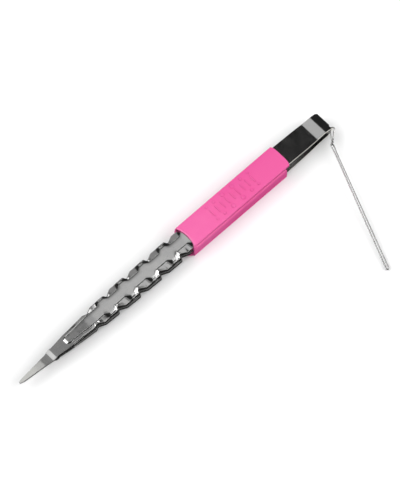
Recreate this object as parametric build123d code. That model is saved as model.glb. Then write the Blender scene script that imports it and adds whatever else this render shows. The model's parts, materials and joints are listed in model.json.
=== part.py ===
from build123d import *

import os
from math import acos, asin, atan2, cos, degrees, hypot, sin, sqrt

# A slide-lock threading clip. A steel strip is folded double into two sprung jaws,
# a plastic sleeve slides along it to lock them, and a wire loop hangs in the fold.
# Everything is built from the jaw tip: x runs back along the tool, z is counted
# from the plane where the jaws meet. The finished solids are then moved so that
# the origin is the middle of the sleeve's flat underside.

LENGTH = 130.5  # jaw tip to the back of the fold
SHEET = 0.45  # strip thickness
STRIP_WIDTH = 7.6

# Sleeve
SLEEVE_FRONT = 69.9  # front edge of its upper face, at the sides
SLEEVE_LENGTH = 41.3  # of the upper face
SLEEVE_WIDTH = 9.2
SLEEVE_HEIGHT = 7.0
SIDE_WALL = 0.57
FACE_WALL = 0.6
CROWN = 0.25  # rise of the sleeve's upper face across its width
CORNER = 0.85  # rounding of the sleeve's long edges
FRONT_HOLLOW = 0.9  # depth of the arc across the upper face's front end
CHEEK_FRONT = 69.8  # front edge of the side walls
TONGUE_FRONT = 67.2  # front of the rounded underside, which reaches under the jaws
TONGUE_BACK = 72.5
UPPER_PLATE = 1.1  # depth of the upper face's edge, above the side grooves
CUT_BACK = 1.7  # from the upper face's rear edge to the walls' rear edge
GROOVE_HEIGHT = 1.0
GROOVE_DEPTH = 0.3
JAW_CLEARANCE = 0.2  # above the jaws, inside the sleeve

# Jaws
TIP_GAP = 0.06  # between the closed jaws
TURNDOWN = 0.07  # smallest turned-down edge, along the flat stretches
FLEX_X = 84.0  # where the jaws bend away from the folded part
SPLIT = 0.1  # gap between a jaw and the folded part
STEP = 0.38  # height of the pressed centre panel
STEP_RUN = 0.2  # width of the panel's sloping wall
PANEL_NARROW = 1.62
PANEL_WIDE = 2.75
FLANGE = 1.05  # depth of the lobes' turned-down edge
LOWER_SET_BACK = 0.9  # the lower jaw lies this much further back
NOTCHES = (30.3, 38.9, 47.6, 56.4, 65.2, 74.0)
LOBE_HALF_WIDTHS = (3.45, 3.8, 3.85, 3.85, 3.82)
NOTCH_HALF_WIDTHS = (2.4, 2.55, 2.65, 2.7, 2.75)
FACET_DROP = 0.62  # fall of a lobe's side facet below the panel's foot

# Fold
FOLD_RADIUS = 1.95
FOLD_KINK_X = 123.6

# Wire loop
WIRE = 0.42
EYE_RADIUS = 0.62  # of the wire's centre line
EYE_EDGE = 1.25  # from the strip's edge to the slot's centre
EYE_SLOT = (1.5, 2.4)  # across the strip, and round the fold
NECK_START = 3.4  # from the eye's middle to where its arms meet
NECK_END = 5.4
NECK_RADIUS = 0.47
NECK_LEAN = 45.5  # degrees from square across the tool, towards the tip
STRAND_LENGTH = 45.3  # from the neck to the far end
LOOP_LEAN = 21.7
LOOP_HALF_GAP = 0.4  # from the loop's middle to a strand's centre

EMBOSS = 0.16  # height of the raised dots and bars
EMBOSS_X = 90.4
DOT_ROW = 2.6
DOT_PLACES = ((2.1, 0.7), (5.75, 0.52), (8.8, 0.4))  # distance from the middle, radius
BAR_COUNT = 9
BAR_PITCH = 2.15
BAR_SIZE = (0.42, 2.7)

INNER_HALF_HEIGHT = SLEEVE_HEIGHT / 2 - FACE_WALL
JAW_TOP_IN_SLEEVE = INNER_HALF_HEIGHT - JAW_CLEARANCE


def between(x, knots):
    """Straight-line value at x of a list of (x, value) knots."""
    for (x0, v0), (x1, v1) in zip(knots, knots[1:]):
        if x <= x1:
            return v0 + (v1 - v0) * (x - x0) / (x1 - x0)
    return knots[-1][1]


TOP = (
    (0.0, SHEET + TIP_GAP / 2 + TURNDOWN),
    (12.4, 0.75),
    (19.0, 1.75),
    (31.0, 2.45),
    (45.0, 2.85),
    (60.0, 2.85),
    (69.5, JAW_TOP_IN_SLEEVE),
    (FLEX_X, JAW_TOP_IN_SLEEVE),
)


def section(x, half_width, panel, step, drop, flange, top=None):
    """One cross-section of the upper jaw: panel, step, side facet and flange."""
    top = between(x, TOP) if top is None else top
    inset = min(SHEET, 0.45 * half_width)
    foot = panel + STEP_RUN * min(1.0, half_width / 2)
    foot_in = min(foot - 0.05, half_width - inset - 0.02)
    panel_in = min(panel - 0.05, foot_in - 0.02)
    base = top - step
    edge = base - drop
    outer = [
        (half_width, edge - flange),
        (half_width, edge),
        (foot, base),
        (panel, top),
    ]
    inner = [
        (panel_in, top - SHEET),
        (foot_in, base - SHEET),
        (half_width - inset, edge - SHEET),
        (half_width - inset, edge - flange),
    ]
    over = outer + [(-y, z) for y, z in reversed(outer)]
    under = [(-y, z) for y, z in reversed(inner)] + inner
    points = [Vector(x, y, z) for y, z in over + under]
    return Face(Wire.make_polygon(points, close=True))


def plain_section(x, half_width, raised=0.0):
    """A flat cross-section of the strip, lifted by raised above the jaw's own line."""
    top = between(x, TOP) + raised
    return section(x, half_width, 0.6 * half_width, 0.01, 0.01, SHEET + TURNDOWN - 0.02, top)


def nose_sections():
    """The flat nose with its cross bead."""
    rows = [
        (0.0, 0.3, 0.0),
        (0.5, 0.48, 0.0),
        (11.8, 1.55, 0.0),
        (12.4, 1.62, 0.5),
        (13.2, 1.66, 0.68),
        (14.0, 1.66, 0.5),
        (14.6, 1.62, 0.0),
        (18.6, 2.1, 0.0),
    ]
    return [plain_section(*row) for row in rows]


def neck_sections():
    """The start of the pressed panel, up to the first notch."""
    return [
        section(19.6, 2.2, 0.9, 0.2, 0.03, SHEET + TURNDOWN),
        section(20.8, 2.3, 1.4, STEP, 0.08, SHEET + TURNDOWN),
        section(29.2, 2.85, PANEL_NARROW, STEP, 0.4, 0.75),
        section(30.0, 2.45, PANEL_NARROW, STEP, 0.3, 0.6),
    ]


def lobe_sections(index):
    """One lobe: slanted start, full width, steep return to the next notch."""
    start, stop = NOTCHES[index], NOTCHES[index + 1]
    pitch = stop - start
    notch, lobe = NOTCH_HALF_WIDTHS[index], LOBE_HALF_WIDTHS[index]
    rows = [
        (0.02, notch, PANEL_NARROW, 0.5),
        (0.27, lobe, PANEL_NARROW, 1.0),
        (0.44, lobe, PANEL_NARROW, 1.0),
        (0.60, lobe, PANEL_WIDE, 0.55),
        (0.80, lobe, PANEL_WIDE, 0.55),
        (0.91, lobe, 0.5 * (PANEL_WIDE + PANEL_NARROW), 0.8),
        (0.975, notch, PANEL_NARROW, 0.5),
    ]
    return [
        section(start + f * pitch, half, panel, STEP, FACET_DROP * fall, FLANGE)
        for f, half, panel, fall in rows
    ]


def shank_sections(set_back):
    """The plain strip behind the last lobe, inside the sleeve."""
    half = STRIP_WIDTH / 2
    rear = FLEX_X - SPLIT / 2 - set_back
    return [plain_section(75.2, half), plain_section(rear, half)]


def jaw(set_back=0.0):
    """An upper jaw, set back along the tool, that still ends at the flex line."""
    sections = nose_sections() + neck_sections()
    for index in range(len(NOTCHES) - 1):
        sections += lobe_sections(index)
    sections += shank_sections(set_back)
    solid = Solid.make_loft([face.outer_wire() for face in sections], ruled=True)
    return Pos(set_back, 0, 0) * solid


def fold_profile():
    """Side outline of the folded strip, drawn in x and z."""
    centre = LENGTH - FOLD_RADIUS
    outer = [
        (FLEX_X + SPLIT / 2, JAW_TOP_IN_SLEEVE),
        (SLEEVE_FRONT + SLEEVE_LENGTH, JAW_TOP_IN_SLEEVE),
        (FOLD_KINK_X, FOLD_RADIUS),
        (centre, FOLD_RADIUS),
    ]
    inner = [(x, z - SHEET) for x, z in outer]
    outer_below = [(x, -z) for x, z in outer]
    inner_below = [(x, -z) for x, z in inner]
    edges = [
        Polyline(*outer),
        ThreePointArc(outer[-1], (LENGTH, 0), outer_below[-1]),
        Polyline(*reversed(outer_below)),
        Line(outer_below[0], inner_below[0]),
        Polyline(*inner_below),
        ThreePointArc(inner_below[-1], (LENGTH - SHEET, 0), inner[-1]),
        Polyline(*reversed(inner)),
        Line(inner[0], outer[0]),
    ]
    return Plane.XZ * make_face(edges)


def spring_bow():
    """The folded part of the strip, with the slot for the wire's eye."""
    bow = extrude(fold_profile(), STRIP_WIDTH / 2, both=True)
    across, around = EYE_SLOT
    slot = Plane.YZ * SlotOverall(around, across, rotation=90)
    slot = extrude(slot, 3 * SHEET, both=True)
    return bow - Pos(LENGTH, EYE_EDGE - STRIP_WIDTH / 2, 0) * slot


def sleeve_front_cut():
    """What is taken off the square front: an arc above, a step at the cheeks, a rounded tongue below."""
    radius = ((SLEEVE_WIDTH / 2) ** 2 + FRONT_HOLLOW**2) / (2 * FRONT_HOLLOW)
    plate_low = SLEEVE_HEIGHT / 2 - UPPER_PLATE
    reach = SLEEVE_FRONT - TONGUE_FRONT + 3
    upright = (Align.CENTER, Align.CENTER, Align.MIN)
    arc = Cylinder(radius, SLEEVE_HEIGHT, align=upright)
    arc = Pos(SLEEVE_FRONT + FRONT_HOLLOW - radius, 0, plate_low) * arc
    cheeks = Pos(CHEEK_FRONT, 0, -INNER_HALF_HEIGHT) * Box(
        reach, SLEEVE_WIDTH + 1, SLEEVE_HEIGHT, align=(Align.MAX, Align.CENTER, Align.MIN)
    )
    tongue = Ellipse(TONGUE_BACK - TONGUE_FRONT, SLEEVE_WIDTH / 2)
    around = Pos(TONGUE_BACK, 0, 0) * Rectangle(reach + 3, SLEEVE_WIDTH + 1, align=(Align.MAX, Align.CENTER))
    margin = around - Pos(TONGUE_BACK, 0, 0) * tongue
    low = extrude(Pos(0, 0, -SLEEVE_HEIGHT) * margin, SLEEVE_HEIGHT - INNER_HALF_HEIGHT)
    return [arc, cheeks, low]


def sleeve_body():
    """The rounded tube with its shaped front, side grooves and shorter rear underside."""
    rear = SLEEVE_FRONT + SLEEVE_LENGTH
    length = rear - TONGUE_FRONT
    middle = (rear + TONGUE_FRONT) / 2
    plate_low = SLEEVE_HEIGHT / 2 - UPPER_PLATE
    groove_start = SLEEVE_FRONT + 2.3
    body = extrude(Plane.YZ.offset(TONGUE_FRONT) * sleeve_outline(), length)
    body -= Pos(middle, 0, 0) * Box(length + 1, SLEEVE_WIDTH - 2 * SIDE_WALL, 2 * INNER_HALF_HEIGHT)
    for cut in sleeve_front_cut():
        body -= cut
    groove = Box(rear - groove_start, GROOVE_DEPTH, GROOVE_HEIGHT)
    for side in (-1, 1):
        groove_y = side * (SLEEVE_WIDTH - GROOVE_DEPTH) / 2
        body -= Pos((groove_start + rear) / 2, groove_y, plate_low - GROOVE_HEIGHT / 2) * groove
    lower_rear = Box(2 * CUT_BACK, SLEEVE_WIDTH + 1, SLEEVE_HEIGHT)
    return body - Pos(rear, 0, plate_low - SLEEVE_HEIGHT / 2) * lower_rear


def sleeve_outline():
    """The outer section drawn in a plane's own axes, across then up."""
    half_width, half_height = SLEEVE_WIDTH / 2, SLEEVE_HEIGHT / 2
    shoulder = half_height - CROWN
    sides = Polyline(
        (half_width, shoulder),
        (half_width, -half_height),
        (-half_width, -half_height),
        (-half_width, shoulder),
    )
    crown = ThreePointArc((-half_width, shoulder), (0, half_height), (half_width, shoulder))
    face = make_face([sides, crown])
    return fillet(face.vertices(), CORNER)


def crown_height(y):
    """Height of the sleeve's crowned upper face at y from its middle line."""
    half_width = SLEEVE_WIDTH / 2
    radius = (half_width**2 + CROWN**2) / (2 * CROWN)
    return SLEEVE_HEIGHT / 2 - radius + sqrt(radius**2 - y**2)


def raised_dot(x, y, radius):
    """A shallow round button on the sleeve's upper face."""
    ball = (radius**2 + EMBOSS**2) / (2 * EMBOSS)
    return Pos(x, y, crown_height(y) + EMBOSS - ball) * Sphere(ball)


def raised_bar(x):
    """A short bar across the sleeve's upper face."""
    width, length = BAR_SIZE
    return Pos(x, 0, crown_height(length / 2) + EMBOSS / 2) * Box(width, length, EMBOSS + 0.1)


def grip_sleeve():
    sleeve = sleeve_body()
    cap = Pos(EMBOSS_X, 0, SLEEVE_HEIGHT / 2) * Box(24, SLEEVE_WIDTH - 2 * CORNER, 0.7)
    for side in (-1, 1):
        for offset, radius in DOT_PLACES:
            for end in (-1, 1):
                dot = raised_dot(EMBOSS_X + end * offset, side * DOT_ROW, radius)
                sleeve += dot & cap
    for index in range(BAR_COUNT):
        sleeve += raised_bar(EMBOSS_X + (index - (BAR_COUNT - 1) / 2) * BAR_PITCH)
    return sleeve


def rod(start, end, radius):
    """A round bar from one point to another."""
    run = Vector(*end) - Vector(*start)
    bar = Cylinder(radius, run.length, align=(Align.CENTER, Align.CENTER, Align.MIN))
    return Plane(origin=start, z_dir=run) * bar


def wire_eye():
    """The teardrop eye, whose round end is centred on the origin, and its twisted neck."""
    reach = hypot(NECK_START, WIRE / 2)
    angle = atan2(WIRE / 2, NECK_START) + acos(EYE_RADIUS / reach)
    touch = (EYE_RADIUS * cos(angle), EYE_RADIUS * sin(angle))
    start, end = (NECK_START, WIRE / 2), (NECK_START, -WIRE / 2)
    touch_below = (touch[0], -touch[1])
    round_end = ThreePointArc(touch, (-EYE_RADIUS, 0), touch_below)
    line = Wire([Line(start, touch), round_end, Line(touch_below, end)])
    towards = (touch[0] - start[0], touch[1] - start[1], 0)
    eye = sweep(Plane(origin=start, z_dir=towards) * Circle(WIRE / 2), path=line)
    return eye + rod((NECK_START - 0.15, 0, 0), (NECK_END, 0, 0), NECK_RADIUS)


def hairpin():
    """The two long strands and the bend that closes them, along +x from the neck."""
    straight = STRAND_LENGTH - LOOP_HALF_GAP - WIRE / 2
    bend = Torus(LOOP_HALF_GAP, WIRE / 2) & Pos(1, 0, 0) * Box(2, 2, 1)
    pin = Sphere(NECK_RADIUS * 1.1) + Pos(straight, 0, 0) * bend
    for side in (-1, 1):
        y = side * LOOP_HALF_GAP
        pin += rod((0, y, 0), (straight, y, 0), WIRE / 2)
    return pin


def threader_loop():
    """The doubled wire: an eye round the fold's edge, a twisted neck and a long hairpin."""
    drop = SLEEVE_HEIGHT / 2 - WIRE
    slope = asin(drop / (NECK_END + STRAND_LENGTH))
    tilt = Rot(0, degrees(slope), 0)
    eye_y = (EYE_EDGE - EYE_SLOT[0] / 2 - STRIP_WIDTH) / 2
    eye = Pos(LENGTH - SHEET / 2, eye_y, 0) * Rot(0, 0, -90 - NECK_LEAN) * tilt
    neck_end = eye * Pos(NECK_END, 0, 0)
    strands = Pos(neck_end.position) * Rot(0, 0, -90 - LOOP_LEAN) * tilt
    return eye * wire_eye() + strands * hairpin()


def main():
    origin = Location((-(SLEEVE_FRONT + SLEEVE_LENGTH / 2), 0, SLEEVE_HEIGHT / 2))
    nodes = {
        "upper_jaw": jaw(),
        "lower_jaw": mirror(jaw(LOWER_SET_BACK), about=Plane.XY),
        "spring_bow": spring_bow(),
        "grip_sleeve": grip_sleeve(),
        "threader_loop": threader_loop(),
    }
    os.makedirs("parts", exist_ok=True)
    for name, shape in nodes.items():
        export_step(origin * shape, f"parts/{name}.step")


main()
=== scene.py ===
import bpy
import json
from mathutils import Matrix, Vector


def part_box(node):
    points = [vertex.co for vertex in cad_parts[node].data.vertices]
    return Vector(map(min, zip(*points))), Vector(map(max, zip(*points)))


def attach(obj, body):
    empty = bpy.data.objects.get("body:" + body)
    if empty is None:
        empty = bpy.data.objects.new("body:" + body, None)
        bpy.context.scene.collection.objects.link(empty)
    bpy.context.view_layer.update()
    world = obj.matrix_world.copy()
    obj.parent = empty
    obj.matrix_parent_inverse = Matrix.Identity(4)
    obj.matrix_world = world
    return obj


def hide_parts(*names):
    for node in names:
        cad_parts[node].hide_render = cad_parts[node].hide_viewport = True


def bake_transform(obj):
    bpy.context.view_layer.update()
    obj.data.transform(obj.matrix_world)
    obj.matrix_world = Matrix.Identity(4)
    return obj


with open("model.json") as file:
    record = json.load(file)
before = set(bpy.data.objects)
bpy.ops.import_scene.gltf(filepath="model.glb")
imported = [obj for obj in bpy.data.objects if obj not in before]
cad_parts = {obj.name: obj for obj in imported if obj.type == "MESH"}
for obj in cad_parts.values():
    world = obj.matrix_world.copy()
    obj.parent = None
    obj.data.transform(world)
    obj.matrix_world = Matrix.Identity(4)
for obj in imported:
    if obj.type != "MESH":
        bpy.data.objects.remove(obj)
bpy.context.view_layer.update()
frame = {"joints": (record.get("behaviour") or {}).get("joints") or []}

import json
import math

import bmesh
import bpy
import numpy as np
from mathutils import Vector

# A slide-lock threading clip: a folded steel strip with two pressed jaws, a pink
# sliding sleeve and a doubled wire loop. Shapes are worked out in millimetres, with x
# counted back from the upper jaw's tip, y across and z up from the plane where the
# jaws meet, and row() turns them into the frame's metres.

MM = 0.001
JOINTS = {joint["name"]: joint for joint in frame["joints"]}
TIP_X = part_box("upper_jaw")[0][0]
MID_Z = JOINTS["loop_swing"]["pos_m"][2]
SLEEVE_LOW, SLEEVE_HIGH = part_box("grip_sleeve")


def from_tip(x):
    """Millimetres back from the jaw tip of a frame x."""
    return (x - TIP_X) / MM


def row(points):
    """Points in the tool's millimetres as frame metres."""
    points = np.asarray(points, dtype=float)
    return points * MM + np.array([TIP_X, 0.0, MID_Z])


# ---------------------------------------------------------------- dimensions, mm

SHEET = 0.45
STRIP_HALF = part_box("spring_bow")[1][1] / MM
LENGTH = from_tip(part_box("spring_bow")[1][0])
JAW_TOP = (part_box("spring_bow")[1][2] - MID_Z) / MM  # of the strip inside the sleeve
LOWER_SET_BACK = from_tip(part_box("lower_jaw")[0][0])

LEAF_END = 95.0  # inside the sleeve at every position of the sleeve
LOBES_END = 75.2  # the leaf is plain strip behind this
JAW_ROWS = 0.2  # spacing of the sections along a jaw

STEP = 0.42
WALL_RUN, WIDE_RUN = 0.30, 0.62  # of the panel's wall, beside its narrow and wide parts
EDGE_ROUND = 0.2
JAW_BEVEL, FOLD_BEVEL, SLEEVE_BEVEL = 0.06, 0.07, 0.16
PANEL_NARROW, PANEL_WIDE = 1.62, 2.55
PANEL_CROWN = 0.06
FLANGE = 1.05
FACET_DROP = 0.62
NOTCHES = (30.3, 38.9, 47.6, 56.4, 65.2, 74.0)
LOBE_HALF = (3.45, 3.8, 3.85, 3.85, 3.82)
NOTCH_HALF = (2.4, 2.55, 2.65, 2.7, 2.75)

NOSE_PAINTED_HIGHLIGHT = 11.0  # the nose's colour is painted brighter this far back, a painted highlight

SLEEVE_HALF = SLEEVE_HIGH[1] / MM
SLEEVE_REAR = from_tip(SLEEVE_HIGH[0])
SLEEVE_FRONT = 69.9
TONGUE_FRONT = from_tip(SLEEVE_LOW[0])
TONGUE_BACK = 72.5
CHEEK_FRONT = 69.8
FRONT_HOLLOW = 0.9
CUT_BACK = 1.7
HALF_HEIGHT = MID_Z / MM
CROWN = 0.25
CORNER = 0.85
PLATE_HALF, PLATE_CORNER = SLEEVE_HALF - 0.25, 0.5  # of the upper plate
SIDE_WALL, FACE_WALL = 0.57, 0.6
PLATE_LOW = HALF_HEIGHT - 1.15
GROOVE_LOW = PLATE_LOW - 1.0
GROOVE_DEPTH = 0.6
RIM_WIDTH, RIM_DROP = 0.55, 0.28  # the plate's front edge is rolled down
EMBOSS = 0.26
EMBOSS_X = 90.4
DOT_ROW = 2.6
DOT_PLACES = ((2.1, 0.7), (5.75, 0.52), (8.8, 0.4))
BAR_COUNT, BAR_PITCH = 9, 2.15
BAR_HALF = (0.21, 1.35)

FOLD_RADIUS = 1.95
FOLD_KINK_X = 123.6
BOW_START = 127.2  # where the strip starts to turn round the back
BOW_POINTS = 90
LINE_BLUR, BLUR_REACH = 2.2, 12  # in points, of the softening of the fold's side line
FOLD_NARROWING = 0.22  # of its half width, once along the leaves and once round the back
WIRE = 0.42
EYE_RADIUS = 0.62
EYE_SLOT = (1.5, 2.4)
SLOT_EDGE = 0.5  # metal left between the slot and the strip's edge
NECK_START, NECK_END = 3.4, 5.4
NECK_LEAN = 45.5
NECK_TURNS = 1.0
NECK_GAP = 0.03  # between the twisted strands
STRAND_LENGTH = 45.3
STRAND_START, STRAND_POINTS = 0.8, 46
STRAND_PINCH = 0.15  # the strands lean this far in, just behind the neck
LOOP_HALF_GAP = 0.4
LOOP_LEAN = 21.7


# ---------------------------------------------------------------- mesh helpers


def mesh_object(name, vertices, faces, cut_faces=()):
    """A smooth piece. Faces numbered in cut_faces take its second material."""
    mesh = bpy.data.meshes.new(name)
    mesh.from_pydata([tuple(v) for v in vertices], [], [tuple(f) for f in faces])
    for _ in range(2 if cut_faces else 1):
        mesh.materials.append(None)
    mesh.polygons.foreach_set("material_index", [int(i in cut_faces) for i in range(len(faces))])
    piece = bpy.data.objects.new(name, mesh)
    bpy.context.collection.objects.link(piece)
    work = bmesh.new()
    work.from_mesh(mesh)
    bmesh.ops.remove_doubles(work, verts=work.verts, dist=1e-7)
    bmesh.ops.recalc_face_normals(work, faces=work.faces)
    for face in work.faces:
        face.smooth = True
    work.to_mesh(mesh)
    work.free()
    return piece


def grid_faces(rows, columns, offset=0, wrap=False):
    """Quads of a grid of vertices stored row by row."""
    faces = []
    last = columns if wrap else columns - 1
    for i in range(rows - 1):
        for j in range(last):
            a = offset + i * columns + j
            b = offset + i * columns + (j + 1) % columns
            faces.append((a, b, b + columns, a + columns))
    return faces


def round_edges(piece, width, segments=2, angle=40):
    """Rounds the sharp edges of a piece, width in millimetres."""
    bevel = piece.modifiers.new("round_edges", "BEVEL")
    bevel.width = width * MM
    bevel.segments = segments
    bevel.limit_method = "ANGLE"
    bevel.angle_limit = math.radians(angle)
    bevel.harden_normals = True
    apply_modifiers(piece)


def apply_modifiers(piece):
    graph = bpy.context.evaluated_depsgraph_get()
    made = bpy.data.meshes.new_from_object(piece.evaluated_get(graph))
    piece.modifiers.clear()
    piece.data = made


def smoothed(x, knots, blur):
    """Values of a straight-line outline at evenly spaced x, with its corners rounded."""
    values = np.interp(x, [k[0] for k in knots], [k[1] for k in knots])
    spacing = x[1] - x[0]
    reach = max(1, int(3 * blur / spacing))
    kernel = np.exp(-0.5 * (np.arange(-reach, reach + 1) * spacing / blur) ** 2)
    padded = np.pad(values, reach, mode="edge")
    return np.convolve(padded, kernel / kernel.sum(), mode="valid")


def ease(value, low, high):
    """0 below low, 1 above high and a smooth rise between."""
    t = np.clip((value - low) / (high - low), 0.0, 1.0)
    return t * t * (3 - 2 * t)


# ---------------------------------------------------------------- jaws


def lobe_knots(values, first, last):
    """Knots of an outline that repeats on every lobe.

    values are pairs of a share of the pitch and a number, or a tuple of one number a lobe.
    """
    knots = list(first)
    for i, (start, stop) in enumerate(zip(NOTCHES, NOTCHES[1:])):
        for share, value in values:
            value = value[i] if isinstance(value, tuple) else value
            knots.append((start + share * (stop - start), value))
    return knots + list(last)


def jaw_outlines(x):
    """Half width, panel, wall run, step, facet drop, flange, bend and top along a jaw."""
    half = lobe_knots(
        ((0.02, NOTCH_HALF), (0.27, LOBE_HALF), (0.91, LOBE_HALF), (0.97, NOTCH_HALF)),
        [(0.0, 0.2), (0.3, 0.42), (0.8, 0.52), (12.3, 1.54), (12.8, 1.86), (13.9, 1.86)]
        + [(14.4, 1.64), (20.0, 2.24), (29.0, 2.86), (30.0, NOTCH_HALF[0])],
        [(LOBES_END, STRIP_HALF), (LEAF_END, STRIP_HALF)],
    )
    panel = lobe_knots(
        ((0.0, PANEL_NARROW), (0.46, PANEL_NARROW), (0.60, PANEL_WIDE))
        + ((0.80, PANEL_WIDE), (0.96, PANEL_NARROW)),
        [(0.0, 0.1), (18.9, 0.12), (19.3, 0.62), (19.9, 0.92), (20.8, 1.12), (24.0, 1.3)]
        + [(28.5, 1.62), (31.0, PANEL_NARROW)],
        [(LOBES_END, PANEL_NARROW), (LEAF_END, PANEL_NARROW)],
    )
    run = lobe_knots(
        ((0.0, WALL_RUN), (0.5, WALL_RUN), (0.62, WIDE_RUN), (0.84, WIDE_RUN), (0.96, WALL_RUN)),
        [(0.0, WALL_RUN), (18.9, 0.6), (20.4, 0.5), (22.0, WALL_RUN)],
        [(LEAF_END, WALL_RUN)],
    )
    fall = lobe_knots(
        ((0.02, 0.45), (0.3, 1.0), (0.5, 1.0), (0.62, 0.6), (0.85, 0.6)),
        [(0.0, 0.0), (20.0, 0.0), (24.0, 0.12), (29.0, 0.4)],
        [(LOBES_END, 0.0), (LEAF_END, 0.0)],
    )
    flange = [(20.0, 0.0), (23.0, 0.45), (30.0, 0.9), (34.0, 1.0), (74.0, 1.0), (LOBES_END, 0.0)]
    base = [(0.0, SHEET + 0.09), (7.0, 0.545), (9.8, 0.585), (12.5, 0.75), (13.9, 1.32)]
    base += [(19.2, 1.66), (24.0, 1.95), (28.0, 2.13), (31.0, 2.225), (34.0, 2.29)]
    base += [(38.0, 2.35), (45.0, 2.43), (60.0, 2.44)]
    base += [(69.5, JAW_TOP - STEP), (74.0, JAW_TOP - STEP), (75.4, JAW_TOP)]
    pressed = STEP * ease(x, 18.8, 19.9) * (1 - ease(x, 74.0, 75.4))
    return {
        "half": smoothed(x, half, 0.14),
        "panel": smoothed(x, panel, 0.24),
        "run": smoothed(x, run, 0.3),
        "step": pressed,
        "drop": FACET_DROP * smoothed(x, fall, 0.25),
        "flange": FLANGE * smoothed(x, flange, 0.3),
        "bend": ease(x, 19.5, 22.0) * (1 - ease(x, 74.0, LOBES_END)),
        "top": smoothed(x, base, 0.3) + pressed,
    }


def jaw_half_section(o):
    """Outer and inner points of one side of every section, from the middle line out."""
    half, top = o["half"], o["top"]
    panel = np.minimum(o["panel"], 0.72 * half)
    run = np.minimum(o["run"], 0.8 * (half - panel))
    base = top - o["step"]
    edge = base - o["drop"]
    corner = np.minimum(0.03 + EDGE_ROUND * o["bend"], 0.3 * half)
    crown = PANEL_CROWN * o["bend"]
    outer = []
    for t in np.linspace(0.0, 1.0, 8):
        outer.append((t * panel, top - crown * t * t))
    for t in np.linspace(0.0, 1.0, 8)[1:]:
        outer.append((panel + t * run, top - crown - (o["step"] - crown) * t * t * (3 - 2 * t)))
    foot = panel + run
    for t in np.linspace(0.0, 1.0, 8)[1:]:
        outer.append((foot + t * (half - corner - foot), base + t * (edge - base)))
    lean = [0.0] * len(outer)
    for angle in np.radians([22, 45, 68, 90]):
        turn_y, turn_z = 1 - math.sin(angle), 1 - math.cos(angle)
        outer.append((half - corner * turn_y, edge - corner * turn_z))
        lean.append(angle)
    for t in (0.35, 0.7, 1.0):
        wall = t * np.maximum(o["flange"] - corner, 0.0) * o["bend"]
        outer.append((half, edge - corner - wall))
        lean.append(math.pi / 2)
    reach = np.minimum(SHEET, 0.9 * half)
    inner = []
    for (y, z), angle in zip(outer, lean):
        inner_y = np.minimum(y - reach * np.sin(angle * o["bend"]), half - reach * o["bend"])
        inner_z = np.minimum(z - SHEET * np.cos(angle * o["bend"]), edge - SHEET)
        flat = (y <= foot + 1e-9) & (angle == 0.0)
        inner.append((inner_y, np.where(flat, z - SHEET, inner_z)))
    return outer, inner


def jaw_mesh(name, set_back, side):
    """A jaw as a closed pressed sheet. side is 1 for the upper jaw and -1 for the lower."""
    x = np.arange(0.0, LEAF_END - set_back + 1e-6, JAW_ROWS)
    outer, inner = jaw_half_section(jaw_outlines(x))
    over = [(-y, z) for y, z in reversed(outer[1:])] + outer
    under = [(-y, z) for y, z in reversed(inner[1:])] + inner
    ring = over + under[::-1]
    columns, count = len(ring), len(over)
    grid = np.zeros((len(x), columns, 3))
    for j, (y, z) in enumerate(ring):
        grid[:, j, 0] = x + set_back
        grid[:, j, 1] = y
        grid[:, j, 2] = side * z
    faces = grid_faces(len(x), columns, wrap=True)
    rims = [i * columns + j for i in range(len(x) - 1) for j in (count - 1, columns - 1)]
    for end in (0, (len(x) - 1) * columns):
        for j in range(count - 1):
            faces.append((end + j, end + j + 1, end + columns - 2 - j, end + columns - 1 - j))
    piece = mesh_object(name, row(grid.reshape(-1, 3)), faces, cut_faces=set(rims))
    round_edges(piece, JAW_BEVEL)
    return piece


def make_jaw(node, set_back, side):
    piece = jaw_mesh(node + "_leaf", set_back, side)
    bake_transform(piece)
    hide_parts(node)
    return piece


# ---------------------------------------------------------------- fold


def fold_line():
    """Side line of the fold's outer face, from the upper leaf's end to the back."""
    start = LEAF_END - LOWER_SET_BACK
    knots = [(start - 3, JAW_TOP), (SLEEVE_REAR, JAW_TOP)]
    knots += [(FOLD_KINK_X, FOLD_RADIUS), (BOW_START, FOLD_RADIUS)]
    x = np.arange(start - 3, BOW_START, 0.1)
    z = np.interp(x, [k[0] for k in knots], [k[1] for k in knots])
    round_back = np.linspace(0.0, math.pi, BOW_POINTS)
    x = np.concatenate([x, BOW_START + (LENGTH - BOW_START) * np.sin(round_back)])
    z = np.concatenate([z, FOLD_RADIUS * np.cos(round_back)])
    middle = len(x) - BOW_POINTS // 2
    reach = np.arange(-BLUR_REACH, BLUR_REACH + 1)
    weights = np.exp(-0.5 * (reach / LINE_BLUR) ** 2)
    weights /= weights.sum()
    x = np.convolve(x, weights, mode="valid")[: middle - BLUR_REACH]
    z = np.convolve(z, weights, mode="valid")[: middle - BLUR_REACH]
    keep = x >= start
    x, z = x[keep], z[keep]
    x += (LENGTH - x[-1]) * ease(x, BOW_START, x[-1])
    z[-1] = 0.0
    return x, z


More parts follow.
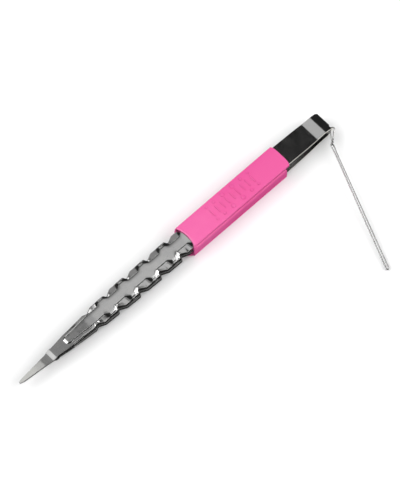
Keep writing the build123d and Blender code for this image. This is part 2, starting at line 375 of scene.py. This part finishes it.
def fold_mesh():
    x, z = fold_line()
    x = np.concatenate([x, x[-2::-1]])
    z = np.concatenate([z, -z[-2::-1]])
    dx, dz = np.gradient(x), np.gradient(z)
    size = np.hypot(dx, dz)
    inner_x, inner_z = x + SHEET * dz / size, z - SHEET * dx / size
    half = STRIP_HALF - FOLD_NARROWING * ease(x, 118.0, BOW_START)
    half = half - FOLD_NARROWING * ease(x, LENGTH - 1.2, LENGTH)
    across = np.linspace(-1.0, 1.0, 15)
    rows, ring = len(x), 2 * len(across)
    grid = np.zeros((rows, ring, 3))
    for j, share in enumerate(across):
        grid[:, j] = np.stack([x, half * share, z], 1)
        grid[:, ring - 1 - j] = np.stack([inner_x, half * share, inner_z], 1)
    faces = grid_faces(rows, ring, wrap=True)
    cuts = {i * ring + j for i in range(rows - 1) for j in (len(across) - 1, ring - 1)}
    for end in (0, (rows - 1) * ring):
        for j in range(len(across) - 1):
            faces.append((end + j, end + j + 1, end + ring - 2 - j, end + ring - 1 - j))
    return mesh_object("folded_strip", row(grid.reshape(-1, 3)), faces, cut_faces=cuts)


def make_fold():
    piece = fold_mesh()
    across, around = EYE_SLOT
    outline = stadium(across / 2, around / 2, 14)
    middle = SLOT_EDGE + across / 2 - STRIP_HALF
    depth = (LENGTH - 3 * SHEET, LENGTH + 3 * SHEET)
    corners = [(x, middle + y, z) for x in depth for y, z in outline]
    count = len(outline)
    faces = grid_faces(2, count, wrap=True)
    faces += [tuple(range(count)), tuple(reversed(range(count, 2 * count)))]
    drill = mesh_object("slot_cutter", row(corners), faces)
    cut = piece.modifiers.new("eye_hole", "BOOLEAN")
    cut.operation = "DIFFERENCE"
    cut.object = drill
    apply_modifiers(piece)
    bpy.data.objects.remove(drill)
    round_edges(piece, FOLD_BEVEL)
    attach(piece, "strip_fold")
    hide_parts("spring_bow")
    return piece


# ---------------------------------------------------------------- sleeve


def crown_height(y):
    """Height of the sleeve's upper face."""
    return HALF_HEIGHT - CROWN * (y / SLEEVE_HALF) ** 2


def arc_points(centre, radius, first, last, count):
    angles = np.radians(np.linspace(first, last, count))
    return [(centre[0] + radius * math.cos(a), centre[1] + radius * math.sin(a)) for a in angles]


def sleeve_sections():
    """Matching outer and inner points of half a section, from its top round to its bottom."""
    inner_half, inner_height = SLEEVE_HALF - SIDE_WALL, HALF_HEIGHT - FACE_WALL
    inner_corner = 0.4
    shoulder, plate_shoulder = SLEEVE_HALF - CORNER, PLATE_HALF - PLATE_CORNER
    outer, inner, zone = [], [], []
    for t in np.linspace(0.0, 1.0, 14):
        outer.append((t * plate_shoulder, crown_height(t * plate_shoulder)))
        inner.append((t * (inner_half - inner_corner), inner_height))
        zone.append("plate")
    centre = (plate_shoulder, crown_height(plate_shoulder) - PLATE_CORNER)
    outer += arc_points(centre, PLATE_CORNER, 80, 0, 9)
    inner_centre = (inner_half - inner_corner, inner_height - inner_corner)
    inner += arc_points(inner_centre, inner_corner, 80, 0, 9)
    zone += ["plate"] * 9
    top_z = centre[1]
    levels = [PLATE_LOW + 0.02, PLATE_LOW - 0.06, PLATE_LOW - 0.16]
    levels += list(np.linspace(PLATE_LOW - 0.3, GROOVE_LOW + 0.3, 4))
    levels += [GROOVE_LOW + 0.16, GROOVE_LOW + 0.04, GROOVE_LOW - 0.1]
    low_z = CORNER - HALF_HEIGHT
    levels += list(np.linspace(GROOVE_LOW - 0.35, low_z + 0.1, 14))
    for z in levels:
        outer.append((PLATE_HALF if z > PLATE_LOW - 0.03 else SLEEVE_HALF, min(z, top_z - 0.02)))
        reach = (z - low_z) / (PLATE_LOW - low_z)
        inner_low = inner_corner - inner_height
        inner.append((inner_half, inner_low + reach * (inner_height - inner_corner - inner_low)))
        zone.append("side" if z > PLATE_LOW - 0.03 else "wall")
    outer += arc_points((shoulder, low_z), CORNER, 0, -90, 9)
    inner_centre = (inner_half - inner_corner, inner_corner - inner_height)
    inner += arc_points(inner_centre, inner_corner, 0, -90, 9)
    zone += ["wall"] * 9
    for t in np.linspace(1.0, 0.0, 14)[1:]:
        outer.append((t * shoulder, -HALF_HEIGHT))
        inner.append((t * (inner_half - inner_corner), -inner_height))
        zone.append("wall")
    return outer, inner, zone


def sleeve_front(y, z, zone):
    """Where the sleeve starts at a point of its section."""
    if zone != "wall":
        return SLEEVE_FRONT + FRONT_HOLLOW * (1 - (y / SLEEVE_HALF) ** 2)
    bow = math.sqrt(max(0.0, 1 - (y / SLEEVE_HALF) ** 2))
    tongue = TONGUE_BACK - (TONGUE_BACK - TONGUE_FRONT) * bow
    below = float(ease(CORNER - HALF_HEIGHT - z, 0.0, CORNER))
    cheek = SLEEVE_FRONT + (CHEEK_FRONT - SLEEVE_FRONT) * float(ease(PLATE_LOW - z, 0.0, 2.2))
    return cheek + below * (min(tongue, cheek) - cheek)


def groove_inset(x, z):
    """How far the side wall is pressed in at the groove."""
    along = ease(x, SLEEVE_FRONT + 0.4, SLEEVE_FRONT + 1.6)
    across = ease(z, GROOVE_LOW, GROOVE_LOW + 0.14) * (1 - ease(z, PLATE_LOW - 0.14, PLATE_LOW))
    return GROOVE_DEPTH * along * across


def wall_bulge(z):
    """How far the side wall draws in below the groove, more at the edges of its lower band."""
    middle = (GROOVE_LOW + CORNER - HALF_HEIGHT) / 2
    half = (GROOVE_LOW - CORNER + HALF_HEIGHT) / 2
    return 0.2 * min(1.0, abs((z - middle) / half) ** 8) if z < GROOVE_LOW + 0.01 else 0.1


def sleeve_mesh():
    half_outer, half_inner, half_zone = sleeve_sections()
    outer = half_outer + [(-y, z) for y, z in half_outer[-2:0:-1]]
    inner = half_inner + [(-y, z) for y, z in half_inner[-2:0:-1]]
    zone = half_zone + half_zone[-2:0:-1]
    columns = len(outer)
    fine = np.arange(SLEEVE_FRONT + 1.9, SLEEVE_FRONT + 3.2, 0.15)
    shared = np.concatenate([fine, np.arange(75.0, 108.6, 0.8)])
    lead, tail = np.linspace(0.0, 1.0, 15)[:-1] ** 1.6, np.linspace(0.0, 1.0, 6)[1:]
    rows = len(lead) + len(shared) + len(tail)
    skins = np.zeros((2, rows, columns, 3))
    for j in range(columns):
        y, z = outer[j]
        front = sleeve_front(y, z, zone[j])
        rear = SLEEVE_REAR - (CUT_BACK if zone[j] == "wall" else 0.7 * abs(y / SLEEVE_HALF) ** 5)
        ahead, behind = front + lead * (shared[0] - front), shared[-1] + tail * (rear - shared[-1])
        x = np.concatenate([ahead, shared, behind])
        inset = np.zeros(rows)
        if abs(y) > SLEEVE_HALF - 1e-6:
            inset = groove_inset(x, z) + wall_bulge(z) * (z < PLATE_LOW)
        rim = np.clip(1 - (x - front) / RIM_WIDTH, 0.0, 1.0)
        roll = RIM_DROP * rim ** 2 * (zone[j] == "plate")
        skins[0, :, j] = np.stack([x, y - np.sign(y) * inset, z - roll], 1)
        inner_y, inner_z = np.full(rows, inner[j][0]), np.full(rows, inner[j][1])
        skins[1, :, j] = np.stack([x, inner_y, inner_z], 1)
    faces = grid_faces(rows, columns, wrap=True)
    faces += [tuple(reversed(f)) for f in grid_faces(rows, columns, rows * columns, wrap=True)]
    for i in (0, rows - 1):
        for j in range(columns):
            a, b = i * columns + j, i * columns + (j + 1) % columns
            faces.append((a, b, b + rows * columns, a + rows * columns))
    return mesh_object("sleeve_shell", row(skins.reshape(-1, 3)), faces)


def raised_pad(name, outline, height, x, y):
    """A low moulded pad: rings of the outline that draw in as they rise, closed by a cap."""
    profile = ((1.05, -0.4), (1.03, 0.1), (0.99, 0.6), (0.9, 0.88), (0.7, 1.0))
    outline = np.asarray(outline)
    shortest = np.min(np.linalg.norm(outline, axis=1))
    vertices = []
    for scale, rise in profile:
        for px, py in outline:
            size = math.hypot(px, py)
            keep = (size - shortest * (1 - scale)) / size
            qx, qy = px * keep, py * keep
            vertices.append((x + qx, y + qy, crown_height(y + qy) + height * rise))
    count = len(outline)
    faces = grid_faces(len(profile), count, wrap=True)
    faces.append(tuple(range((len(profile) - 1) * count, len(profile) * count)))
    faces.append(tuple(reversed(range(count))))
    return mesh_object(name, row(vertices), faces)


def stadium(half_x, half_y, count=8):
    """Outline of a bar with round ends."""
    points = []
    for centre, first in ((half_y - half_x, 0.0), (half_x - half_y, math.pi)):
        for t in np.linspace(0.0, math.pi, count):
            points.append((half_x * math.cos(first + t), centre + half_x * math.sin(first + t)))
    return points


def circle(radius, count=24):
    angles = np.linspace(0, 2 * math.pi, count + 1)[:-1]
    return [(radius * math.cos(a), radius * math.sin(a)) for a in angles]


def sleeve_pads():
    """The rows of dots and the plain bars between them."""
    pads = []
    for side in (-1, 1):
        for end in (-1, 1):
            for offset, radius in DOT_PLACES:
                x = EMBOSS_X + end * offset
                pads.append(raised_pad("dot", circle(radius), EMBOSS, x, side * DOT_ROW))
    for index in range(BAR_COUNT):
        x = EMBOSS_X + (index - (BAR_COUNT - 1) / 2) * BAR_PITCH
        pads.append(raised_pad("bar", stadium(*BAR_HALF), EMBOSS, x, 0.0))
    return pads


def join(pieces, name):
    """Joins pieces into the first one."""
    work = bmesh.new()
    for piece in pieces:
        work.from_mesh(piece.data)
    work.to_mesh(pieces[0].data)
    work.free()
    for piece in pieces[1:]:
        bpy.data.objects.remove(piece)
    pieces[0].name = name
    return pieces[0]


def make_sleeve():
    shell = sleeve_mesh()
    round_edges(shell, SLEEVE_BEVEL, segments=3, angle=50)
    piece = join([shell] + sleeve_pads(), "pink_sleeve")
    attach(piece, "sleeve")
    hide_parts("grip_sleeve")
    return piece


# ---------------------------------------------------------------- wire loop


def pinch(share):
    """How far each strand leans in towards the other along the loop."""
    return STRAND_PINCH * (1 - share) ** 0.8 * float(ease(share, 0.0, 0.08))


def loop_path():
    """The closed line of the wire from the swing axis: x out, y across and z up."""
    fall = (HALF_HEIGHT - WIRE) / (NECK_END + STRAND_LENGTH)
    kink = math.radians(NECK_LEAN - LOOP_LEAN)
    opening = math.acos((EYE_RADIUS - WIRE / 2) / NECK_START)
    strand = [(NECK_START - 0.5, WIRE / 2 + 0.08, 0.0), (NECK_START - 0.2, WIRE / 2, 0.0)]
    for a in np.arange(NECK_START, NECK_END + 1e-6, 0.1):
        t = (a - NECK_START) / (NECK_END - NECK_START)
        turn = 2 * math.pi * NECK_TURNS * t
        radius = WIRE / 2 + NECK_GAP + (LOOP_HALF_GAP - WIRE / 2 - NECK_GAP) * ease(t, 0.6, 1.0)
        strand.append((a, radius * math.cos(turn), radius * math.sin(turn)))
    straight = STRAND_LENGTH - LOOP_HALF_GAP - WIRE / 2
    for a in np.linspace(STRAND_START, straight, STRAND_POINTS):
        strand.append(turned((a, LOOP_HALF_GAP - pinch(a / straight), 0.0), kink))
    bend = [
        turned((straight + LOOP_HALF_GAP * math.sin(t), LOOP_HALF_GAP * math.cos(t), 0.0), kink)
        for t in np.linspace(0, math.pi, 13)[1:-1]
    ]
    other = []
    for a in np.linspace(straight, STRAND_START, STRAND_POINTS):
        other.append(turned((a, pinch(a / straight) - LOOP_HALF_GAP, 0.0), kink))
    neck = [(a, -y, -z) for a, y, z in reversed(strand[:-STRAND_POINTS])]
    eye = [
        (EYE_RADIUS * math.cos(t), EYE_RADIUS * math.sin(t), 0.0)
        for t in np.linspace(-opening, opening - 2 * math.pi, 34)
    ]
    path = np.array(strand + bend + other + neck + eye)
    path[:, 2] -= fall * np.maximum(path[:, 0], 0.0)
    return path


def turned(point, angle):
    """A point past the neck, turned about the neck's end."""
    x, y, z = point
    out = NECK_END + x * math.cos(angle) - y * math.sin(angle)
    return (out, x * math.sin(angle) + y * math.cos(angle), z)


def tube(name, path, radius, sides=12):
    """A closed tube along a closed line."""
    ahead = np.roll(path, -1, 0) - np.roll(path, 1, 0)
    ahead /= np.linalg.norm(ahead, axis=1)[:, None]
    normal = np.cross(ahead[0], (0.0, 0.0, 1.0))
    frames = []
    for direction in ahead:
        normal = normal - direction * np.dot(normal, direction)
        normal /= np.linalg.norm(normal)
        frames.append((normal, np.cross(direction, normal)))
    first, last = frames[0][0], frames[-1][0]
    last = last - ahead[0] * np.dot(last, ahead[0])
    twist = math.atan2(np.dot(np.cross(last, first), ahead[0]), np.dot(last, first))
    vertices = []
    for i, (point, (u, v)) in enumerate(zip(path, frames)):
        extra = twist * i / len(path)
        for a in np.linspace(0, 2 * math.pi, sides + 1)[:-1] + extra:
            vertices.append(point + radius * (u * math.cos(a) + v * math.sin(a)))
    count = len(path)
    faces = []
    for i in range(count):
        for j in range(sides):
            a, b = i * sides + j, i * sides + (j + 1) % sides
            c, d = ((i + 1) % count) * sides + (j + 1) % sides, ((i + 1) % count) * sides + j
            faces.append((a, b, c, d))
    return mesh_object(name, vertices, faces)


def make_loop():
    eye = JOINTS["loop_swing"]["pos_m"]
    heading = math.radians(-90 - NECK_LEAN)
    path = loop_path()
    out = [math.cos(heading), math.sin(heading), 0]
    across = np.array([out, [-math.sin(heading), math.cos(heading), 0], [0, 0, 1]])
    piece = tube("wire_loop", path @ across * MM + np.array(eye), WIRE / 2 * MM)
    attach(piece, "loop")
    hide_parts("threader_loop")
    return piece


# ---------------------------------------------------------------- materials


class Shader:
    """A material's node tree, with short names for what is added to it."""

    def __init__(self, name):
        self.material = bpy.data.materials.new(name)
        self.material.use_nodes = True
        self.tree = self.material.node_tree
        self.surface = self.tree.nodes["Principled BSDF"]

    def add(self, kind, inputs=None, **settings):
        node = self.tree.nodes.new(kind)
        for key, value in settings.items():
            setattr(node, key, value)
        for key, value in (inputs or {}).items():
            if isinstance(value, bpy.types.NodeSocket):
                self.tree.links.new(value, node.inputs[key])
            else:
                node.inputs[key].default_value = value
        return node

    def link(self, socket, name):
        self.tree.links.new(socket, self.surface.inputs[name])

    def place(self, scale=(1.0, 1.0, 1.0)):
        where = self.add("ShaderNodeTexCoord").outputs["Object"]
        return self.add("ShaderNodeMapping", {"Vector": where, "Scale": scale}).outputs["Vector"]

    def noise(self, vector, scale, detail=4.0, roughness=0.5):
        node = self.add(
            "ShaderNodeTexNoise",
            {"Vector": vector, "Scale": scale, "Detail": detail, "Roughness": roughness},
        )
        return node.outputs["Fac"]

    def remap(self, value, low, high, new_low, new_high):
        node = self.add(
            "ShaderNodeMapRange",
            {
                "Value": value,
                "From Min": low,
                "From Max": high,
                "To Min": new_low,
                "To Max": new_high,
            },
        )
        return node.outputs["Result"]

    def ramp(self, value, stops):
        node = self.add("ShaderNodeValToRGB", {"Fac": value})
        elements = node.color_ramp.elements
        while len(elements) < len(stops):
            elements.new(0.5)
        for element, (place, colour) in zip(elements, stops):
            element.position = place
            element.color = (*colour, 1.0)
        return node.outputs["Color"]

    def bump(self, height, strength, distance, normal=None):
        inputs = {"Height": height, "Strength": strength, "Distance": distance}
        if normal is not None:
            inputs["Normal"] = normal
        return self.add("ShaderNodeBump", inputs).outputs["Normal"]


def steel(name, roughness, grain):
    """Polished stainless: fine lengthwise lines, faint waves, clouding and a few pits, with a
    painted highlight that turns the colour near white over the nose.
    """
    shader = Shader(name)
    surface = shader.surface
    surface.inputs["Metallic"].default_value = 1.0
    cloud = shader.noise(shader.place(), 420.0, 3.0)
    waves = shader.noise(shader.place((0.35, 1.0, 1.0)), 330.0, 1.0)
    lines = shader.noise(shader.place((0.05, 1.0, 1.0)), 5200.0, 2.0)
    pits = shader.noise(shader.place(), 1500.0, 1.0)
    tone = shader.ramp(cloud, [(0.3, (0.69, 0.69, 0.69)), (0.7, (0.77, 0.765, 0.755))])
    length = shader.add("ShaderNodeSeparateXYZ", {"Vector": shader.place()}).outputs["X"]
    # Painted highlight: the base colour turns near white at the nose and fades back to the steel's
    # tone.
    nose = shader.remap(length, TIP_X + NOSE_PAINTED_HIGHLIGHT / 2 * MM, TIP_X + NOSE_PAINTED_HIGHLIGHT * MM, 1.0, 0.0)
    mix = shader.add("ShaderNodeMix", data_type="RGBA")
    shader.tree.links.new(nose, mix.inputs["Factor"])
    shader.tree.links.new(tone, mix.inputs[6])
    # the near-white colour of the nose's painted highlight
    mix.inputs[7].default_value = (0.97, 0.97, 0.93, 1.0)
    shader.link(mix.outputs[2], "Base Color")
    shader.link(shader.remap(cloud, 0.3, 0.7, roughness * 0.85, roughness * 1.2), "Roughness")
    pitted = shader.remap(pits, 0.72, 0.78, 1.0, 0.0)
    normal = shader.bump(waves, 0.16 * grain, 0.00012)
    normal = shader.bump(lines, 0.10 * grain, 0.000006, normal)
    shader.link(shader.bump(pitted, 0.3, 0.00001, normal), "Normal")
    return shader.material


def cut_edge(name, dark, pale):
    """Sheared edges of the strip: matt and finely scored across the sheet. The dark and pale
    colours passed in carry painted shade or painted light.
    """
    shader = Shader(name)
    surface = shader.surface
    surface.inputs["Metallic"].default_value = 0.1
    score = shader.noise(shader.place((1.0, 1.0, 0.15)), 6000.0, 2.0)
    shader.link(shader.ramp(score, [(0.3, dark), (0.7, pale)]), "Base Color")
    shader.link(shader.remap(score, 0.3, 0.7, 0.38, 0.55), "Roughness")
    shader.link(shader.bump(score, 0.2, 0.00001), "Normal")
    return shader.material


def pink_plastic():
    """Glossy moulded plastic with a faint orange-peel surface, slight random colour drift and
    painted shade that darkens the colour towards the rear.
    """
    shader = Shader("pink_plastic")
    surface = shader.surface
    surface.inputs["IOR"].default_value = 1.48
    surface.inputs["Coat Weight"].default_value = 0.35
    surface.inputs["Coat Roughness"].default_value = 0.12
    surface.inputs["Subsurface Weight"].default_value = 0.06
    surface.inputs["Subsurface Radius"].default_value = (1.0, 0.35, 0.5)
    surface.inputs["Subsurface Scale"].default_value = 0.0008
    drift = shader.noise(shader.place(), 90.0, 3.0)
    # Painted shade: below, the colour is made darker from the sleeve's front to its rear, on top
    # of the random drift.
    length = shader.add("ShaderNodeSeparateXYZ", {"Vector": shader.place()}).outputs["X"]
    along = shader.remap(length, SLEEVE_LOW[0], SLEEVE_HIGH[0], 0.0, 0.9)
    shade = shader.add("ShaderNodeMath", {0: along, 1: drift}, operation="ADD").outputs[0]
    stops = [(0.3, (0.82, 0.150, 0.395)), (0.6, (0.79, 0.120, 0.355)), (1.0, (0.75, 0.092, 0.315))]
    shader.link(shader.ramp(shade, stops), "Base Color")
    peel = shader.noise(shader.place(), 900.0, 2.0)
    shader.link(shader.remap(drift, 0.3, 0.7, 0.20, 0.27), "Roughness")
    shader.link(shader.bump(peel, 0.12, 0.00003), "Normal")
    return shader.material


def floor_material():
    """Pale matt paper."""
    shader = Shader("pale_paper")
    surface = shader.surface
    surface.inputs["Roughness"].default_value = 0.9
    surface.inputs["Specular IOR Level"].default_value = 0.1
    grain = shader.noise(shader.place(), 60.0)
    stops = [(0.3, (0.90, 0.90, 0.90)), (0.7, (0.92, 0.92, 0.92))]
    shader.link(shader.ramp(grain, stops), "Base Color")
    return shader.material


def finish_with(piece, *materials):
    slots = piece.data.materials
    while len(slots) < len(materials):
        slots.append(None)
    for index, material in enumerate(materials):
        slots[index] = material


# ---------------------------------------------------------------- studio


def make_floor():
    bpy.ops.mesh.primitive_plane_add(size=6.0, location=(0.0, 0.0, -0.0001))
    floor = bpy.context.object
    floor.name = "paper_floor"
    finish_with(floor, floor_material())
    floor.visible_glossy = False  # the steel mirrors the studio's panels instead


def area_light(name, place, size, power):
    """A lamp aimed at the tool's middle, which the steel doesn't mirror."""
    target = Vector((TIP_X + LAMP_AIM * MM, 0.0, 0.0))
    light = bpy.data.lights.new(name, "AREA")
    light.shape = "RECTANGLE"
    light.size, light.size_y = size, size
    light.energy = power
    lamp = bpy.data.objects.new(name, light)
    lamp.location = place
    lamp.rotation_euler = (target - Vector(place)).to_track_quat("-Z", "Y").to_euler()
    lamp.visible_glossy = False
    bpy.context.collection.objects.link(lamp)


# Soft panels that the steel mirrors. For each: its span in the x, y and z of a direction,
# given as low edge, high edge and the softness of each, and then its brightness.
STUDIO_PANELS = (
    ((-2.0, -0.17, 0.1, 0.04), (-0.2, 0.75, 0.12, 0.1), (0.38, 0.77, 0.1, 0.06), 3.4),
    ((-2.0, -0.17, 0.1, 0.04), (-0.2, 0.75, 0.12, 0.1), (0.77, 2.0, 0.06, 0.1), 1.0),
    ((-2.0, -0.72, 0.1, 0.06), (0.05, 0.60, 0.08, 0.08), (0.15, 0.42, 0.08, 0.08), 1.0),
    ((-0.15, 0.185, 0.03, 0.02), (-0.5, 0.70, 0.10, 0.10), (0.3, 2.0, 0.1, 0.1), 0.34),
    ((0.213, 0.365, 0.03, 0.014), (-0.5, 0.42, 0.05, 0.07), (0.3, 2.0, 0.1, 0.1), 0.72),
    ((0.10, 0.45, 0.04, 0.03), (0.62, 0.87, 0.08, 0.03), (0.15, 2.0, 0.06, 0.1), 0.34),
    ((0.10, 0.50, 0.04, 0.05), (0.91, 2.0, 0.02, 0.1), (0.02, 0.7, 0.03, 0.1), 1.6),
    ((0.06, 0.50, 0.05, 0.05), (-0.80, -0.64, 0.03, 0.03), (0.3, 2.0, 0.05, 0.1), 2.5),
    ((0.52, 2.0, 0.05, 0.1), (-0.60, -0.12, 0.06, 0.06), (0.15, 0.85, 0.06, 0.06), 3.5),
)
STUDIO_DARK = 0.025

LAMP_AIM = 70  # the lamps point this far back from the jaw tip
# Square lamps: name, place and side in metres, and power in watts.
LAMPS = (
    ("overhead", (-0.1, 0.1, 1.0), 2.4, 8.4),
    ("key", (-0.3, 0.45, 0.75), 0.35, 0.8),
    ("fill", (0.45, -0.7, 0.7), 0.9, 5.0),
)


def make_studio_world():
    """A dark studio with broad soft panels."""
    world = bpy.data.worlds.new("studio")
    world.use_nodes = True
    bpy.context.scene.world = world
    tree = world.node_tree
    tree.nodes.clear()
    axes = tree.nodes.new("ShaderNodeSeparateXYZ")
    tree.links.new(tree.nodes.new("ShaderNodeTexCoord").outputs["Generated"], axes.inputs[0])

    def math_node(operation, a, b):
        node = tree.nodes.new("ShaderNodeMath")
        node.operation = operation
        for index, value in enumerate((a, b)):
            if isinstance(value, bpy.types.NodeSocket):
                tree.links.new(value, node.inputs[index])
            else:
                node.inputs[index].default_value = value
        return node.outputs[0]

    def edge(value, at, soft, first, last):
        node = tree.nodes.new("ShaderNodeMapRange")
        node.interpolation_type = "SMOOTHSTEP"
        tree.links.new(value, node.inputs["Value"])
        limits = {"From Min": at - soft, "From Max": at + soft, "To Min": first, "To Max": last}
        for key, number in limits.items():
            node.inputs[key].default_value = number
        return node.outputs[0]

    total = STUDIO_DARK
    for *spans, level in STUDIO_PANELS:
        for axis, (low, high, soft_low, soft_high) in zip("XYZ", spans):
            value = axes.outputs[axis]
            inside = math_node("MULTIPLY", edge(value, low, soft_low, 0.0, 1.0), level)
            level = math_node("MULTIPLY", inside, edge(value, high, soft_high, 1.0, 0.0))
        total = math_node("ADD", level, total)
    background = tree.nodes.new("ShaderNodeBackground")
    tree.links.new(total, background.inputs["Strength"])
    output = tree.nodes.new("ShaderNodeOutputWorld")
    tree.links.new(background.outputs[0], output.inputs["Surface"])


def make_lights():
    for name, place, size, power in LAMPS:
        area_light(name, place, size, power)


# The camera looks at AIM from this far off, along its azimuth and elevation.
AZIMUTH, ELEVATION = -43.7, 64.0
AIM = (TIP_X + 71.31 * MM, -0.00533, 0.00365)
CAMERA_DISTANCE = 2.0
FIELD_HEIGHT = 0.15473  # of what the frame takes in at that distance


def make_camera():
    azimuth, elevation = math.radians(AZIMUTH), math.radians(ELEVATION)
    data = bpy.data.cameras.new("camera")
    camera = bpy.data.objects.new("camera", data)
    bpy.context.collection.objects.link(camera)
    level = math.cos(elevation)
    back = Vector((math.sin(azimuth) * level, -math.cos(azimuth) * level, math.sin(elevation)))
    camera.location = Vector(AIM) + back * CAMERA_DISTANCE
    camera.rotation_euler = back.to_track_quat("Z", "Y").to_euler()
    data.sensor_width = 36.0
    data.lens = data.sensor_width * CAMERA_DISTANCE / FIELD_HEIGHT
    data.clip_start, data.clip_end = 0.01, 20.0
    bpy.context.scene.camera = camera


def main():
    plate = steel("polished_strip", 0.11, 1.0)
    wire = steel("bright_wire", 0.14, 0.4)
    # Painted shade: the jaws' cut edges get a near-black copy of the edge material.
    dark_painted_edge = cut_edge("jaw_edge_painted_shade", (0.10, 0.10, 0.10), (0.24, 0.24, 0.23))
    # Painted light: the fold's cut edges get a pale copy of the same edge material.
    pale_painted_edge = cut_edge("fold_edge_painted_light", (0.80, 0.78, 0.70), (0.93, 0.91, 0.84))
    finish_with(make_jaw("upper_jaw", 0.0, 1), plate, dark_painted_edge)
    finish_with(make_jaw("lower_jaw", LOWER_SET_BACK, -1), plate, dark_painted_edge)
    finish_with(make_fold(), plate, pale_painted_edge)
    finish_with(make_sleeve(), pink_plastic())
    finish_with(make_loop(), wire)
    make_floor()
    make_studio_world()
    make_lights()
    make_camera()
    bpy.context.scene.view_settings.view_transform = "Standard"


main()
